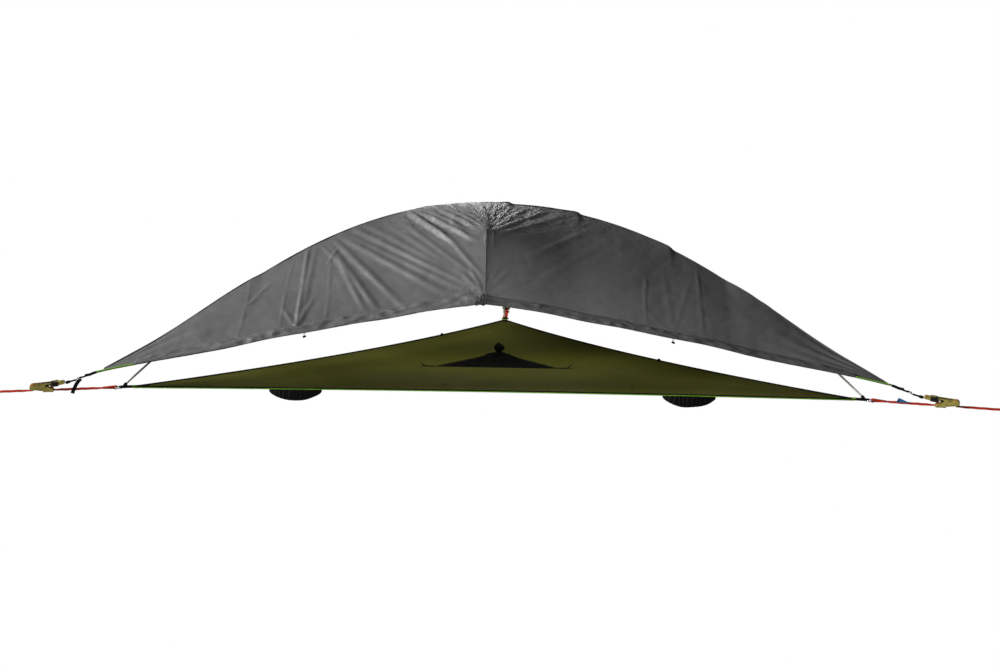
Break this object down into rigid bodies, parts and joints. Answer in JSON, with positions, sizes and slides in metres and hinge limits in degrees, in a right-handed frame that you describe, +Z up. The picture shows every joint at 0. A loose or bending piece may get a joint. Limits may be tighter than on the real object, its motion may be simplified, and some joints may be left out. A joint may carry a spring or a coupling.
{
  "type": "tree tent",
  "caption": "suspended tree tent: taut three-cornered floor with a mesh hatch, ratchet straps to three trees and a fly over two crossed poles",
  "frame": {"origin": "point where the three strap lines meet, level with the floor fabric's middle plane and the strap line", "axes": "+X to the tent's right seen from the long near edge, +Y from that edge towards the third corner, +Z up"},
  "size_m": [5.6434, 3.7855, 1.0395],
  "materials": {
    "coated_ripstop": "coated ripstop, soft sheen, wrinkled",
    "floor_ripstop": "matt olive ripstop, drawn tight",
    "black_webbing": "black woven webbing",
    "black_mesh": "black insect mesh",
    "green_piping": "lime green corded piping",
    "red_webbing": "orange-red woven webbing",
    "yellow_zinc": "pressed steel, yellow zinc plating",
    "plain_steel": "bright steel wire and plate",
    "pole_alloy": "grey anodised tube",
    "shock_cord": "black elastic cord",
    "black_plastic": "black moulded plastic"
  },
  "bodies": {
    "root": {"anchor_ring_left": "plain_steel", "corner_patch_left": "black_webbing", "guy_strap_left": "black_webbing", "guy_ring_left": "plain_steel", "guy_hook_left": "black_plastic", "tent_strap_left": "red_webbing", "tree_strap_left": "red_webbing", "ratchet_frame_left": "yellow_zinc", "anchor_ring_right": "plain_steel", "corner_patch_right": "black_webbing", "guy_strap_right": "black_webbing", "guy_ring_right": "plain_steel", "guy_hook_right": "black_plastic", "tent_strap_right": "red_webbing", "tree_strap_right": "red_webbing", "ratchet_frame_right": "yellow_zinc", "anchor_ring_far": "plain_steel", "corner_patch_far": "black_webbing", "guy_strap_far": "black_webbing", "guy_ring_far": "plain_steel", "guy_hook_far": "black_plastic", "tent_strap_far": "red_webbing", "tree_strap_far": "red_webbing", "ratchet_frame_far": "yellow_zinc", "hatch_tab_left": "black_webbing", "mesh_pocket_left": "black_mesh", "hem_toggle_left": "black_plastic", "edge_webbing_left": "black_webbing", "hatch_tab_right": "black_webbing", "mesh_pocket_right": "black_mesh", "hem_toggle_right": "black_plastic", "edge_webbing_right": "black_webbing", "edge_webbing_near": "black_webbing", "edge_piping": "green_piping", "floor_fabric": "floor_ripstop", "cross_pole_left": "pole_alloy", "cross_pole_right": "pole_alloy", "ridge_pole_rear": "pole_alloy", "ridge_pole_front": "pole_alloy", "shock_cord_cross": "shock_cord", "shock_cord_ridge": "shock_cord", "pole_crossing_clip": "black_plastic", "fly_sheet": "coated_ripstop"},
    "handle_left": {"ratchet_handle_left": "yellow_zinc"},
    "spool_left": {"ratchet_spool_left": "yellow_zinc", "strap_winding_left": "red_webbing"},
    "drive_pawl_left": {"drive_pawl_left": "black_plastic"},
    "lock_pawl_left": {"lock_pawl_left": "plain_steel"},
    "handle_right": {"ratchet_handle_right": "yellow_zinc"},
    "spool_right": {"ratchet_spool_right": "yellow_zinc", "strap_winding_right": "red_webbing"},
    "drive_pawl_right": {"drive_pawl_right": "black_plastic"},
    "lock_pawl_right": {"lock_pawl_right": "plain_steel"},
    "handle_far": {"ratchet_handle_far": "yellow_zinc"},
    "spool_far": {"ratchet_spool_far": "yellow_zinc", "strap_winding_far": "red_webbing"},
    "drive_pawl_far": {"drive_pawl_far": "black_plastic"},
    "lock_pawl_far": {"lock_pawl_far": "plain_steel"},
    "hatch_flap": {"hatch_mesh": "black_mesh"},
    "zip_slider": {"hatch_zip_slider": "plain_steel"}
  },
  "joints": [
    {"name": "handle_lift_left", "type": "hinge", "parent": "root", "child": "handle_left", "pos_m": [-2.49206, -0.71723, 0.019], "axis": [0.2766, -0.961, 0], "range_deg": [0, 160]},
    {"name": "spool_turn_left", "type": "hinge", "parent": "root", "child": "spool_left", "pos_m": [-2.49206, -0.71723, 0.019], "axis": [0.2766, -0.961, 0], "continuous": true},
    {"name": "drive_pawl_slide_left", "type": "slide", "parent": "handle_left", "child": "drive_pawl_left", "axis": [0.9528, 0.2742, 0.1301], "range_m": [0, 0.006], "stiffness_N_per_m": 600, "springref_m": -0.004},
    {"name": "lock_pawl_slide_left", "type": "slide", "parent": "root", "child": "lock_pawl_left", "axis": [0.961, 0.2766, 0], "range_m": [0, 0.006], "stiffness_N_per_m": 600, "springref_m": -0.004},
    {"name": "handle_lift_right", "type": "hinge", "parent": "root", "child": "handle_right", "pos_m": [2.49206, -0.71723, 0.019], "axis": [0.2766, 0.961, 0], "range_deg": [0, 160]},
    {"name": "spool_turn_right", "type": "hinge", "parent": "root", "child": "spool_right", "pos_m": [2.49206, -0.71723, 0.019], "axis": [0.2766, 0.961, 0], "continuous": true},
    {"name": "drive_pawl_slide_right", "type": "slide", "parent": "handle_right", "child": "drive_pawl_right", "axis": [-0.9528, 0.2742, 0.1301], "range_m": [0, 0.006], "stiffness_N_per_m": 600, "springref_m": -0.004},
    {"name": "lock_pawl_slide_right", "type": "slide", "parent": "root", "child": "lock_pawl_right", "axis": [-0.961, 0.2766, 0], "range_m": [0, 0.006], "stiffness_N_per_m": 600, "springref_m": -0.004},
    {"name": "handle_lift_far", "type": "hinge", "parent": "root", "child": "handle_far", "pos_m": [0, 2.62, 0.019], "axis": [-1, 0, 0], "range_deg": [0, 160]},
    {"name": "spool_turn_far", "type": "hinge", "parent": "root", "child": "spool_far", "pos_m": [0, 2.62, 0.019], "axis": [-1, 0, 0], "continuous": true},
    {"name": "drive_pawl_slide_far", "type": "slide", "parent": "handle_far", "child": "drive_pawl_far", "axis": [0, -0.9915, 0.1301], "range_m": [0, 0.006], "stiffness_N_per_m": 600, "springref_m": -0.004},
    {"name": "lock_pawl_slide_far", "type": "slide", "parent": "root", "child": "lock_pawl_far", "axis": [0, -1, 0], "range_m": [0, 0.006], "stiffness_N_per_m": 600, "springref_m": -0.004},
    {"name": "hatch_swing", "type": "hinge", "parent": "root", "child": "hatch_flap", "pos_m": [0, 0.195, 0], "axis": [1, 0, 0], "range_deg": [-100, 0]},
    {"name": "zip_slide", "type": "slide", "parent": "root", "child": "zip_slider", "axis": [0.5893, -0.8079, 0], "range_m": [0, 0.38]}
  ]
}
